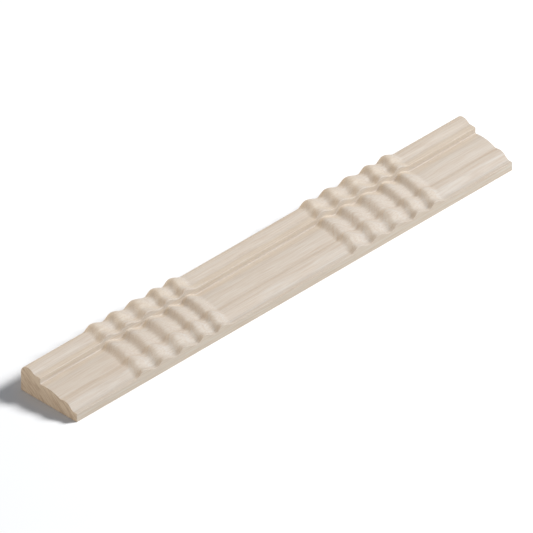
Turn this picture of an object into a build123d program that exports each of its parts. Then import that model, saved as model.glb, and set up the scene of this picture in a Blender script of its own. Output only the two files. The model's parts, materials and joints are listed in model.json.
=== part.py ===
"""Ripple moulding: one length of planed hardwood with a stepped section and two groups of ripples.

The section climbs from a thin front edge to a round bead along the back.  Over each group of
ripples the whole section rises and falls along the length, the way a scraper does that rides on
a wavy template, while the base stays flat.

Frame: X along the length, Y across the width with the bead at +Y, Z up, origin at the centre of
the base.  All sizes are in millimetres.
"""

import os

from build123d import *

# Section, from the front edge to the back
FRONT_EDGE_HEIGHT = 8.2
LIP_WIDTH = 3.8
COVE_WIDTH = 5.4
COVE_RISE = 4.1
COVE_RADIUS = 13.0
LOWER_BEAD_WIDTH = 9.45
LOWER_BEAD_RISE = 0.6
LOWER_BEAD_CROWN = 1.25
OVOLO_WIDTH = 22.25
OVOLO_RISE = 2.95
OVOLO_RADIUS = 32.5
QUIRK_EASE = 1.3
STEP_HEIGHT = 6.2
STEP_ARRIS = 0.9
FILLET_WIDTH = 5.2
HOLLOW_RADIUS = 5.0
BEAD_RADIUS = 8.0
BEAD_RISE = 3.45

# Runs along the length: plain, ripples, plain, ripples, plain
START_RUN = 67.9
MIDDLE_RUN = 134.7
END_RUN = 76.0

# Ripples, the same five in each group: a short steep rise, a round crest and a long slow fall
RIPPLE_LENGTHS = (22.8, 22.8, 24.6, 20.1, 20.4)
RIPPLE_HEIGHT = 4.1
RIPPLE_RISE_SHARE = 0.34

# Sizes that follow from the ones above
bead_to_hollow = BEAD_RADIUS + HOLLOW_RADIUS
hollow_to_bead_width = (bead_to_hollow**2 - (bead_to_hollow - BEAD_RISE) ** 2) ** 0.5
lip_end = LIP_WIDTH
cove_end = lip_end + COVE_WIDTH
notch = cove_end + LOWER_BEAD_WIDTH
ovolo_end = notch + OVOLO_WIDTH
quirk = ovolo_end + QUIRK_EASE
fillet_end = quirk + FILLET_WIDTH
bead_centre = fillet_end + hollow_to_bead_width
width = bead_centre + BEAD_RADIUS
cove_end_z = FRONT_EDGE_HEIGHT + COVE_RISE
notch_z = cove_end_z + LOWER_BEAD_RISE
quirk_z = notch_z + OVOLO_RISE
fillet_z = quirk_z + STEP_HEIGHT
bead_centre_z = fillet_z + BEAD_RISE - BEAD_RADIUS
group_length = sum(RIPPLE_LENGTHS)
length = START_RUN + MIDDLE_RUN + END_RUN + 2 * group_length

# The swept section reaches this far under the base, so that its underside stays below the crests
under_z = -2 * RIPPLE_HEIGHT


def moulding_section():
    """The section with its front bottom corner at zero and its underside below the base."""
    hollow_share = HOLLOW_RADIUS / bead_to_hollow
    hollow_end = (
        fillet_end + hollow_share * hollow_to_bead_width,
        fillet_z + hollow_share * BEAD_RISE,
    )
    with BuildSketch(Plane.XY) as sketch:
        with BuildLine():
            Polyline((width, bead_centre_z), (width, under_z), (0, under_z), (0, FRONT_EDGE_HEIGHT))
            Line((0, FRONT_EDGE_HEIGHT), (lip_end, FRONT_EDGE_HEIGHT))
            RadiusArc((lip_end, FRONT_EDGE_HEIGHT), (cove_end, cove_end_z), -COVE_RADIUS)
            SagittaArc((cove_end, cove_end_z), (notch, notch_z), LOWER_BEAD_CROWN)
            RadiusArc((notch, notch_z), (ovolo_end, quirk_z), OVOLO_RADIUS)
            Polyline(
                (ovolo_end, quirk_z),
                (quirk, quirk_z + QUIRK_EASE),
                (quirk, fillet_z - STEP_ARRIS),
                (quirk + STEP_ARRIS, fillet_z),
                (fillet_end, fillet_z),
            )
            RadiusArc((fillet_end, fillet_z), hollow_end, -HOLLOW_RADIUS)
            RadiusArc(hollow_end, (bead_centre, fillet_z + BEAD_RISE), BEAD_RADIUS)
            RadiusArc((bead_centre, fillet_z + BEAD_RISE), (width, bead_centre_z), BEAD_RADIUS)
        make_face()
    return sketch.sketch


def ripple_edge(start):
    """One group of ripples as one smooth curve in XZ, through its valleys, crests and half heights."""
    points = [(start, 0, 0)]
    for ripple_length in RIPPLE_LENGTHS:
        crest = start + RIPPLE_RISE_SHARE * ripple_length
        end = start + ripple_length
        points.append(((start + crest) / 2, 0, RIPPLE_HEIGHT / 2))
        points.append((crest, 0, RIPPLE_HEIGHT))
        points.append(((crest + end) / 2, 0, RIPPLE_HEIGHT / 2))
        points.append((end, 0, 0))
        start = end
    return Spline(*points, tangents=[(1, 0, 0), (1, 0, 0)])


def scraper_path():
    """The way of the section along the length: level on the plain runs, waving over the groups."""
    first = START_RUN
    second = first + group_length + MIDDLE_RUN
    with BuildLine() as path:
        Line((0, 0, 0), (first, 0, 0))
        add(ripple_edge(first))
        Line((first + group_length, 0, 0), (second, 0, 0))
        add(ripple_edge(second))
        Line((second + group_length, 0, 0), (length, 0, 0))
    return path.wire()


# The section keeps its attitude as it travels, so the front and the back stay upright
section_plane = Plane(origin=(0, 0, 0), x_dir=(0, 1, 0), z_dir=(1, 0, 0))
section = section_plane * moulding_section()
waved = sweep(section, path=scraper_path(), normal=(1, 0, 0))
planed = split(waved, bisect_by=Plane.XY, keep=Keep.TOP)
moulding = Pos(-length / 2, -width / 2, 0) * planed

moulding.label = "ripple_moulding"
os.makedirs("parts", exist_ok=True)
export_step(moulding, "parts/ripple_moulding.step")
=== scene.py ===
"""Ripple moulding: a length of pale lime wood with a stepped section and two groups of ripples.

Frame: X along the length, Y across the width with the bead at +Y, Z up, metres.
"""
import json
import math
from functools import partial

import bpy
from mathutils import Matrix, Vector

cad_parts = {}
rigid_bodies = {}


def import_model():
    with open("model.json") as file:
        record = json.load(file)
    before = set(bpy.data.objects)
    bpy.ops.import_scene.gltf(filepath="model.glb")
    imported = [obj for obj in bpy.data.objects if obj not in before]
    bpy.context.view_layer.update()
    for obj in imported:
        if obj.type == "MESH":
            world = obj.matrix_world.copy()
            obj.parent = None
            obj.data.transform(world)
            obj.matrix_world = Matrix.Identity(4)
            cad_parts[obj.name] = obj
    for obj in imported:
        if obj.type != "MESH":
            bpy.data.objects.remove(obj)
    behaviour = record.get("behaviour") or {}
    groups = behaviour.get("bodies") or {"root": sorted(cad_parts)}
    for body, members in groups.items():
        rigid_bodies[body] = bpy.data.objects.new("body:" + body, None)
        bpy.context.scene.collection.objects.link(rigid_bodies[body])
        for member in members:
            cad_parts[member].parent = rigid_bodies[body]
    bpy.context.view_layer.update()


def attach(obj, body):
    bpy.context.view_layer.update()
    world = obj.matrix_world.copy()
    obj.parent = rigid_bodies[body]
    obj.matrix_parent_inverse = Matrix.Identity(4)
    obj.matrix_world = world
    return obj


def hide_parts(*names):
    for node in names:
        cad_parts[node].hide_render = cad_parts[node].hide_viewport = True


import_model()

MM = 0.001

# Section in millimetres, from the front edge to the back, as in the solid but for an ovolo that
# stands half a millimetre fuller at the step and runs closer to it
FRONT_EDGE_HEIGHT = 8.2
LIP_WIDTH = 3.8
COVE_WIDTH = 5.4
COVE_RISE = 4.1
COVE_RADIUS = 13.0
LOWER_BEAD_WIDTH = 9.45
LOWER_BEAD_RISE = 0.6
LOWER_BEAD_CROWN = 1.25
OVOLO_WIDTH = 22.65
OVOLO_RISE = 3.4
OVOLO_RADIUS = 37.0
QUIRK_EASE = 0.9
STEP_HEIGHT = 5.75
STEP_ARRIS = 0.9
FILLET_WIDTH = 5.2
HOLLOW_RADIUS = 5.0
BEAD_RADIUS = 8.0
BEAD_RISE = 3.45

# Runs and ripples along the length in millimetres, and the share of each ripple that climbs
START_RUN = 67.9
MIDDLE_RUN = 134.7
END_RUN = 76.0
RIPPLE_LENGTHS = (22.8, 22.8, 24.6, 20.1, 20.4)
RIPPLE_HEIGHT = 4.2
RIPPLE_RISE_SHARE = 0.375
GROUP_LENGTH = sum(RIPPLE_LENGTHS)
LENGTH = START_RUN + MIDDLE_RUN + END_RUN + 2 * GROUP_LENGTH

# Rounds in millimetres; an arris is softened where the surface turns by more than the angle
ARRIS = 0.35
ARRIS_SEGMENTS = 2
ARRIS_ANGLE = math.radians(35)
NOTCH_ROUND = 1.3
NOTCH_STEPS = 5

# Mesh spacing in millimetres along the length and round the section's curves
STATION = 1.0
CURVE_STEP = 0.6
LEAST_STEPS = 3
# What lies lower than this, in millimetres, belongs to the flat base
BASE_REACH = 1.0


def arc(start, end, radius, up):
    """Points of an arc from start to end, without the end, bulging up or down."""
    (y0, z0), (y1, z1) = start, end
    half = math.dist(start, end) / 2
    side = 1 if up else -1
    reach = math.sqrt(radius**2 - half**2)
    middle = ((y0 + y1) / 2, (z0 + z1) / 2)
    across = ((y1 - y0) / (2 * half), (z1 - z0) / (2 * half))
    centre = (middle[0] + side * reach * across[1], middle[1] - side * reach * across[0])
    first = math.atan2(z0 - centre[1], y0 - centre[0])
    turn = -side * 2 * math.asin(half / radius)
    count = max(LEAST_STEPS, math.ceil(abs(turn) * radius / CURVE_STEP))
    angles = [first + turn * i / count for i in range(count)]
    return [(centre[0] + radius * math.cos(a), centre[1] + radius * math.sin(a)) for a in angles]


def rounded(first, second, reach):
    """Two runs of points joined, with the corner where they meet rounded over this reach."""
    corner = second[0]
    first = [point for point in first if math.dist(point, corner) > reach]
    second = [point for point in second if math.dist(point, corner) > reach]
    ends = (first[-1], corner, second[0])
    bend = []
    for step in range(1, NOTCH_STEPS):
        t = step / NOTCH_STEPS
        shares = ((1 - t) ** 2, 2 * t * (1 - t), t**2)
        bend.append([sum(w * point[i] for w, point in zip(shares, ends)) for i in (0, 1)])
    return first + bend + second


def section_outline():
    """The closed outline of the section in millimetres, front bottom corner first."""
    sum_radius = BEAD_RADIUS + HOLLOW_RADIUS
    hollow_to_bead = math.sqrt(sum_radius**2 - (sum_radius - BEAD_RISE) ** 2)
    share = HOLLOW_RADIUS / sum_radius
    lip = (LIP_WIDTH, FRONT_EDGE_HEIGHT)
    cove = (lip[0] + COVE_WIDTH, lip[1] + COVE_RISE)
    notch = (cove[0] + LOWER_BEAD_WIDTH, cove[1] + LOWER_BEAD_RISE)
    ovolo = (notch[0] + OVOLO_WIDTH, notch[1] + OVOLO_RISE)
    wall = ovolo[0] + QUIRK_EASE
    top = ovolo[1] + STEP_HEIGHT
    fillet = (wall + FILLET_WIDTH, top)
    hollow = (fillet[0] + share * hollow_to_bead, top + share * BEAD_RISE)
    crown = (fillet[0] + hollow_to_bead, top + BEAD_RISE)
    back = (crown[0] + BEAD_RADIUS, crown[1] - BEAD_RADIUS)
    bead_chord = math.dist(cove, notch) / 2
    bead_radius = (bead_chord**2 + LOWER_BEAD_CROWN**2) / (2 * LOWER_BEAD_CROWN)
    points = [(0.0, 0.0), (0.0, FRONT_EDGE_HEIGHT)]
    points += arc(lip, cove, COVE_RADIUS, False)
    points += arc(cove, notch, bead_radius, True)
    points = rounded(points, arc(notch, ovolo, OVOLO_RADIUS, True), NOTCH_ROUND)
    # Rounds where the solid has small flats
    points += arc(ovolo, (wall, ovolo[1] + QUIRK_EASE), QUIRK_EASE, False)
    points += [(wall, ovolo[1] + QUIRK_EASE)]
    points += arc((wall, top - STEP_ARRIS), (wall + STEP_ARRIS, top), STEP_ARRIS, True)
    points += [(wall + STEP_ARRIS, top)]
    points += arc(fillet, hollow, HOLLOW_RADIUS, False)
    points += arc(hollow, crown, BEAD_RADIUS, True)
    points += arc(crown, back, BEAD_RADIUS, True)
    points += [back, (back[0], 0.0)]
    return points


def linear(hex_colour):
    """An sRGB hex colour as linear red, green, blue and one."""
    parts = [int(hex_colour[i : i + 2], 16) / 255 for i in (1, 3, 5)]
    return [c / 12.92 if c <= 0.04045 else ((c + 0.055) / 1.055) ** 2.4 for c in parts] + [1.0]


# A Mix node's sockets for colours
MIX_FIRST = 6
MIX_SECOND = 7
MIX_RESULT = 2


def node(tree, kind, links=None, **settings):
    """Add a node; links maps its inputs to nodes' first outputs, other sockets or plain values."""
    made = tree.nodes.new(kind)
    for name, value in settings.items():
        setattr(made, name, value)
    for key, value in (links or {}).items():
        if isinstance(value, bpy.types.Node):
            value = value.outputs[0]
        if isinstance(value, bpy.types.NodeSocket):
            tree.links.new(value, made.inputs[key])
        else:
            made.inputs[key].default_value = value
    return made


def section_curve():
    """The section as a closed flat curve, centred on the width."""
    outline = section_outline()
    width = max(y for y, z in outline)
    data = bpy.data.curves.new("section_outline", "CURVE")
    data.dimensions = "2D"
    spline = data.splines.new("POLY")
    spline.points.add(len(outline) - 1)
    # The sweep turns the outline half round, so it is drawn upside down, and its points go from
    # the back to the front, so that the faces point outwards
    for point, (y, z) in zip(spline.points, reversed(outline)):
        point.co = ((width / 2 - y) * MM, -z * MM, 0.0, 1.0)
    spline.use_cyclic_u = True
    return bpy.data.objects.new("section_outline", data)


def ripple_tree():
    """Sweep the section along the length and lift it over the ripples, above a flat base."""
    tree = bpy.data.node_groups.new("rippled_length", "GeometryNodeTree")
    add = partial(node, tree)
    sizes = [("Length", LENGTH), ("Station", STATION), ("Group Start", START_RUN)]
    sizes += [("Group Spacing", GROUP_LENGTH + MIDDLE_RUN), ("Ripple Height", RIPPLE_HEIGHT)]
    sizes += [("Base Reach", BASE_REACH)]
    sizes += [(f"Ripple {i + 1}", size) for i, size in enumerate(RIPPLE_LENGTHS)]
    sockets = tree.interface
    sockets.new_socket("Geometry", in_out="INPUT", socket_type="NodeSocketGeometry")
    sockets.new_socket("Section", in_out="INPUT", socket_type="NodeSocketObject")
    sockets.new_socket("Wood", in_out="INPUT", socket_type="NodeSocketMaterial")
    for name in ["Rise Share"] + [name for name, _ in sizes]:
        sockets.new_socket(name, in_out="INPUT", socket_type="NodeSocketFloat")
    sockets.new_socket("Geometry", in_out="OUTPUT", socket_type="NodeSocketGeometry")
    given = add("NodeGroupInput").outputs

    # The section swept along a straight line
    half = add("ShaderNodeMath", {0: given["Length"], 1: 0.5}, operation="MULTIPLY")
    minus_half = add("ShaderNodeMath", {0: given["Length"], 1: -0.5}, operation="MULTIPLY")
    path = add("GeometryNodeCurvePrimitiveLine", {
        "Start": add("ShaderNodeCombineXYZ", {"X": minus_half}),
        "End": add("ShaderNodeCombineXYZ", {"X": half}),
    })
    stations = add("GeometryNodeResampleCurve", {"Curve": path, "Length": given["Station"]},
                   mode="LENGTH")
    upright = add("GeometryNodeSetCurveNormal", {"Curve": stations}, mode="Z_UP")
    section = add("GeometryNodeObjectInfo", {"Object": given["Section"]})
    swept = add("GeometryNodeCurveToMesh", {
        "Curve": upright, "Profile Curve": section.outputs["Geometry"], "Fill Caps": True,
    })

    # The wave: each ripple eases up to its crest and down again, the same in both groups
    place = add("ShaderNodeSeparateXYZ", {0: add("GeometryNodeInputPosition")}).outputs
    from_end = add("ShaderNodeMath", {0: place["X"], 1: half}, operation="ADD")
    in_spacing = add("ShaderNodeMath", {0: from_end, 1: given["Group Spacing"]},
                     operation="MODULO")
    along = add("ShaderNodeMath", {0: in_spacing, 1: given["Group Start"]}, operation="SUBTRACT")
    begin = 0.0
    wave = 0.0
    for i in range(len(RIPPLE_LENGTHS)):
        size = given[f"Ripple {i + 1}"]
        climb = add("ShaderNodeMath", {0: size, 1: given["Rise Share"]}, operation="MULTIPLY")
        crest = add("ShaderNodeMath", {0: begin, 1: climb}, operation="ADD")
        finish = add("ShaderNodeMath", {0: begin, 1: size}, operation="ADD")
        for operation, low, high in (("ADD", begin, crest), ("SUBTRACT", crest, finish)):
            slope = add("ShaderNodeMapRange", {"Value": along, "From Min": low, "From Max": high},
                        interpolation_type="SMOOTHSTEP")
            wave = add("ShaderNodeMath", {0: wave, 1: slope}, operation=operation)
        begin = finish
    height = add("ShaderNodeMath", {0: wave, 1: given["Ripple Height"]}, operation="MULTIPLY")
    waved = add("GeometryNodeSetPosition", {
        "Geometry": swept,
        "Selection": add("ShaderNodeMath", {0: place["Z"], 1: given["Base Reach"]},
                         operation="GREATER_THAN"),
        "Offset": add("ShaderNodeCombineXYZ", {"Z": height}),
    })
    smooth = add("GeometryNodeSetShadeSmooth", {"Geometry": waved})
    real = add("GeometryNodeRealizeInstances", {"Geometry": smooth})
    finished = add("GeometryNodeSetMaterial", {"Geometry": real, "Material": given["Wood"]})
    add("NodeGroupOutput", {"Geometry": finished})
    return tree, sizes


# Lime wood, planed and scraped with no coating: pale cream, nearly matt, with soft tan streaks
# along the length, and darker wood with slanting rings where the fibres end.  Its colour also
# carries painted shade on the lower bead toward the notch and painted light on the step
CREAM = "#DDD5CB"
TAN = "#D1C4B3"
BROWN = "#B39374"
GREY = "#DBD7D1"
# The pale warm colour of the painted light on the step
STEP_PAINTED_LIGHT = "#E8DAC6"
END_PALE = "#D1C4B5"
END_DARK = "#B3A291"
SPECULAR = 0.3

# How far the growth layers lean, in degrees, and how far the fibres stray, in millimetres
LAYER_TILT = 50.2
STRAY = 4
# Streaks: the size of their grains in millimetres along the fibres, across the layers and within a
# layer, the noise values between which they come in, and their strength.  Single fibres are finer
# than the picture can show, so they are drawn as strokes 0.8 mm thick
STRAY_GRAIN = (110, 30, 60)
BANDS = ((420, 2.6, 60), 0.38, 0.68, 0.3)
LINES = ((170, 0.9, 40), 0.55, 0.72, 0.15)
FIBRES = ((26, 0.8, 0.8), 0.35, 0.7, 0.22)
RINGS = ((420, 1.6, 9), 0.38, 0.66, 1.0)
NOISE_DETAIL = 2.0
NOISE_MIDDLE = 0.5
# The fibres' height in millimetres and how strongly it shows, and the roughness that goes with
# their noise
FIBRE_HEIGHT = 0.05
FIBRE_BUMP = 0.15
FIBRE_ROUGHNESS = {"From Min": 0.3, "From Max": 0.7, "To Min": 0.56, "To Max": 0.7}
# Bands across the layers: millimetres across the layers from the centre of the base, half width,
# strength, colour; the core is the share of the half width that has the full strength.  The two
# brown bands are painted shade over the lower bead's back half and down into the notch; the grey
# one is a paler, greyer band round the front lip and the cove; the pale warm one is painted light
# over the ovolo's rear, the wall and the fillet, lifting the shade of the step
TONE_AND_PAINTED_LIGHT_BANDS = (
    # Painted shade on the lower bead's back half, deepest toward the notch
    (-19.9, 1.6, 0.12, BROWN),
    (-23.4, 0.7, 0.1, BROWN),
    (-24.6, 1.0, 0.45, GREY),
    # Painted light on the ovolo's rear, the wall and the fillet, where the step shades them
    (-8.9, 2.6, 0.3, STEP_PAINTED_LIGHT),
)
LAYER_CORE = 0.2
# End grain comes in as the surface turns to face along the fibres: from, to, strength
END_GRAIN = (0.45, 1.0, 0.8)


def lime_wood():
    """Growth layers that lean back over the width, cut into streaks along the fibres."""
    material = bpy.data.materials.new("lime_wood_scraped")
    material.use_nodes = True
    tree = material.node_tree
    add = partial(node, tree)
    shader = tree.nodes["Principled BSDF"].inputs
    # Y of the turned coordinates goes straight across the growth layers
    layers = add("ShaderNodeMapping", {
        "Vector": add("ShaderNodeTexCoord").outputs["Object"],
        "Rotation": (math.radians(LAYER_TILT), 0.0, 0.0),
    })

    def streaks(place, grain_size):
        """Noise with grains of this size along the fibres, across and within the layers."""
        sized = add("ShaderNodeMapping", {
            "Vector": place, "Scale": [1 / (size * MM) for size in grain_size],
        })
        return add("ShaderNodeTexNoise", {"Vector": sized, "Scale": 1.0, "Detail": NOISE_DETAIL})

    def tinted(colour, tone, value, low, high, strength):
        """The colour with a tone that comes in between the low value and the high."""
        share = add("ShaderNodeMapRange", {
            "Value": value, "From Min": low, "From Max": high, "To Max": strength,
        }, interpolation_type="SMOOTHSTEP")
        return add("ShaderNodeMix", {"Factor": share, MIX_FIRST: colour, MIX_SECOND: tone},
                   data_type="RGBA").outputs[MIX_RESULT]

    # The fibres run a little wavy through the board
    swing = add("ShaderNodeMath", {0: streaks(layers, STRAY_GRAIN), 1: NOISE_MIDDLE},
                operation="SUBTRACT")
    stray = add("ShaderNodeMath", {0: swing, 1: STRAY * MM}, operation="MULTIPLY")
    shift = add("ShaderNodeCombineXYZ", {"Y": stray})
    grain = add("ShaderNodeVectorMath", {0: layers, 1: shift}, operation="ADD")

    colour = tinted(linear(CREAM), linear(TAN), streaks(grain, BANDS[0]), *BANDS[1:])
    colour = tinted(colour, linear(BROWN), streaks(grain, LINES[0]), *LINES[1:])
    across = add("ShaderNodeSeparateXYZ", {0: grain}).outputs["Y"]
    # Bands across the layers, among them painted shade toward the notch and painted light on the
    # step
    for place, half_width, strength, tone in TONE_AND_PAINTED_LIGHT_BANDS:
        offset = add("ShaderNodeMath", {0: across, 1: place * MM}, operation="SUBTRACT")
        away = add("ShaderNodeMath", {0: offset}, operation="ABSOLUTE")
        edge = half_width * MM
        colour = tinted(colour, linear(tone), away, edge, LAYER_CORE * edge, strength)
    fibres = streaks(grain, FIBRES[0])
    colour = tinted(colour, linear(BROWN), fibres, *FIBRES[1:])
    end_wood = tinted(linear(END_PALE), linear(END_DARK), streaks(grain, RINGS[0]), *RINGS[1:])
    facing = add("ShaderNodeAttribute", attribute_name="cross_grain").outputs["Fac"]
    colour = tinted(colour, end_wood, facing, *END_GRAIN)
    tree.links.new(colour, shader["Base Color"])

    roughness = add("ShaderNodeMapRange", {"Value": fibres, **FIBRE_ROUGHNESS},
                    interpolation_type="SMOOTHSTEP")
    tree.links.new(roughness.outputs[0], shader["Roughness"])
    bump = add("ShaderNodeBump", {
        "Height": fibres, "Strength": FIBRE_BUMP, "Distance": FIBRE_HEIGHT * MM,
    })
    tree.links.new(bump.outputs[0], shader["Normal"])
    shader["Specular IOR Level"].default_value = SPECULAR
    return material


# Moulding
scene_objects = bpy.context.scene.collection.objects
section = section_curve()
scene_objects.link(section)
tree, sizes = ripple_tree()
maker = bpy.data.objects.new("moulding_maker", bpy.data.meshes.new("moulding_maker"))
scene_objects.link(maker)
ripples = maker.modifiers.new("Ripples", "NODES")
ripples.node_group = tree
values = {name: size * MM for name, size in sizes}
values.update({"Section": section, "Wood": lime_wood(), "Rise Share": RIPPLE_RISE_SHARE})
for item in tree.interface.items_tree:
    if item.in_out == "INPUT" and item.name in values:
        ripples[item.identifier] = values[item.name]
arrises = maker.modifiers.new("Arrises", "BEVEL")
arrises.width = ARRIS * MM
arrises.segments = ARRIS_SEGMENTS
arrises.limit_method = "ANGLE"
arrises.angle_limit = ARRIS_ANGLE
even = maker.modifiers.new("Even", "WEIGHTED_NORMAL")
even.keep_sharp = True
depsgraph = bpy.context.evaluated_depsgraph_get()
mesh = bpy.data.meshes.new_from_object(maker.evaluated_get(depsgraph))
mesh.name = "moulding"
# How squarely each bit of surface cuts across the fibres
cross_grain = mesh.attributes.new("cross_grain", "FLOAT", "CORNER")
cross_grain.data.foreach_set("value", [abs(normal.vector.x) for normal in mesh.corner_normals])
moulding = bpy.data.objects.new("moulding", mesh)
scene_objects.link(moulding)
bpy.data.objects.remove(maker)
bpy.data.objects.remove(section)
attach(moulding, "root")
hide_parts("ripple_moulding")

# Floor in matt white paint: an even pale ground with no gloss.  It sends less light back to the
# wood than it shows, and warmer
FLOOR_REACH = 6.0
FLOOR_SHOWN = "#EBEBEB"
FLOOR_SENT_BACK = "#C5BFB3"
FLOOR_ROUGHNESS = 0.9
floor_material = bpy.data.materials.new("matt_white_paint")
floor_material.use_nodes = True
floor_tree = floor_material.node_tree
floor_shader = floor_tree.nodes["Principled BSDF"].inputs
floor_colour = node(floor_tree, "ShaderNodeMix", {
    "Factor": node(floor_tree, "ShaderNodeLightPath").outputs["Is Diffuse Ray"],
    MIX_FIRST: linear(FLOOR_SHOWN),
    MIX_SECOND: linear(FLOOR_SENT_BACK),
}, data_type="RGBA").outputs[MIX_RESULT]
floor_tree.links.new(floor_colour, floor_shader["Base Color"])
floor_shader["Roughness"].default_value = FLOOR_ROUGHNESS
floor_shader["Specular IOR Level"].default_value = 0.0
floor_mesh = bpy.data.meshes.new("floor")
floor_corners = [(x * FLOOR_REACH, y * FLOOR_REACH, 0)
                 for x, y in ((-1, -1), (1, -1), (1, 1), (-1, 1))]
floor_mesh.from_pydata(floor_corners, [], [(0, 1, 2, 3)])
floor_mesh.materials.append(floor_material)
floor = bpy.data.objects.new("floor", floor_mesh)
scene_objects.link(floor)


# Light
def soft_light(name, direction, distance, size, power, colour=(1, 1, 1), only=None):
    """A square soft light aimed at the middle of the moulding, which may light one object only."""
    data = bpy.data.lights.new(name, "AREA")
    data.energy = power
    data.size = size
    data.color = colour
    lamp = bpy.data.objects.new(name, data)
    place = Vector(direction).normalized() * distance
    lamp.location = place
    lamp.rotation_euler = place.to_track_quat("Z", "Y").to_euler()
    scene_objects.link(lamp)
    if only:
        receivers = bpy.data.collections.new(name + "_receivers")
        receivers.objects.link(only)
        lamp.light_linking.receiver_collection = receivers


# The floor has a light of its own beside the key, and the warm fills leave the shadow on it deep
KEY = {"direction": (0.671, -0.452, 0.588), "distance": 5.6, "size": 1.6}
FILL = {"distance": 5.0, "size": 3.1, "colour": (1.0, 0.8, 0.56), "only": moulding}
soft_light("key_light", power=250, **KEY)
soft_light("floor_light", power=310, only=floor, **KEY)
soft_light("left_fill", direction=(-0.95, 0.0, 0.31), power=82, **FILL)
soft_light("back_fill", direction=(0.0, 0.95, 0.31), power=94, **FILL)
soft_light("top_fill", direction=(0.0, 0.0, 1.0), power=20, **FILL)

# A pale cool light from all round
ROOM_COLOUR = (0.95, 1.0, 1.08, 1.0)
ROOM_STRENGTH = 0.273
world = bpy.data.worlds.new("studio")
world.use_nodes = True
room = world.node_tree.nodes["Background"].inputs
room["Color"].default_value = ROOM_COLOUR
room["Strength"].default_value = ROOM_STRENGTH
bpy.context.scene.world = world
bpy.context.scene.view_settings.view_transform = "Standard"

# Camera: far off and narrow, because the photo is a parallel view
CAMERA_DISTANCE = 18.0
CAMERA_REACH = 100.0
SENSOR_WIDTH = 36.0
FRAME_WIDTH = 0.4331
AZIMUTH = math.radians(-45.0)
ELEVATION = math.radians(35.264)
TARGET = Vector((0.01150, 0.01359, 0.0))
camera_data = bpy.data.cameras.new("camera")
camera_data.sensor_width = SENSOR_WIDTH
camera_data.lens = SENSOR_WIDTH * CAMERA_DISTANCE / FRAME_WIDTH
camera_data.clip_end = CAMERA_REACH
camera = bpy.data.objects.new("camera", camera_data)
back = Vector((
    math.sin(AZIMUTH) * math.cos(ELEVATION),
    -math.cos(AZIMUTH) * math.cos(ELEVATION),
    math.sin(ELEVATION),
))
camera.location = TARGET + CAMERA_DISTANCE * back
camera.rotation_euler = back.to_track_quat("Z", "Y").to_euler()
scene_objects.link(camera)
bpy.context.scene.camera = camera
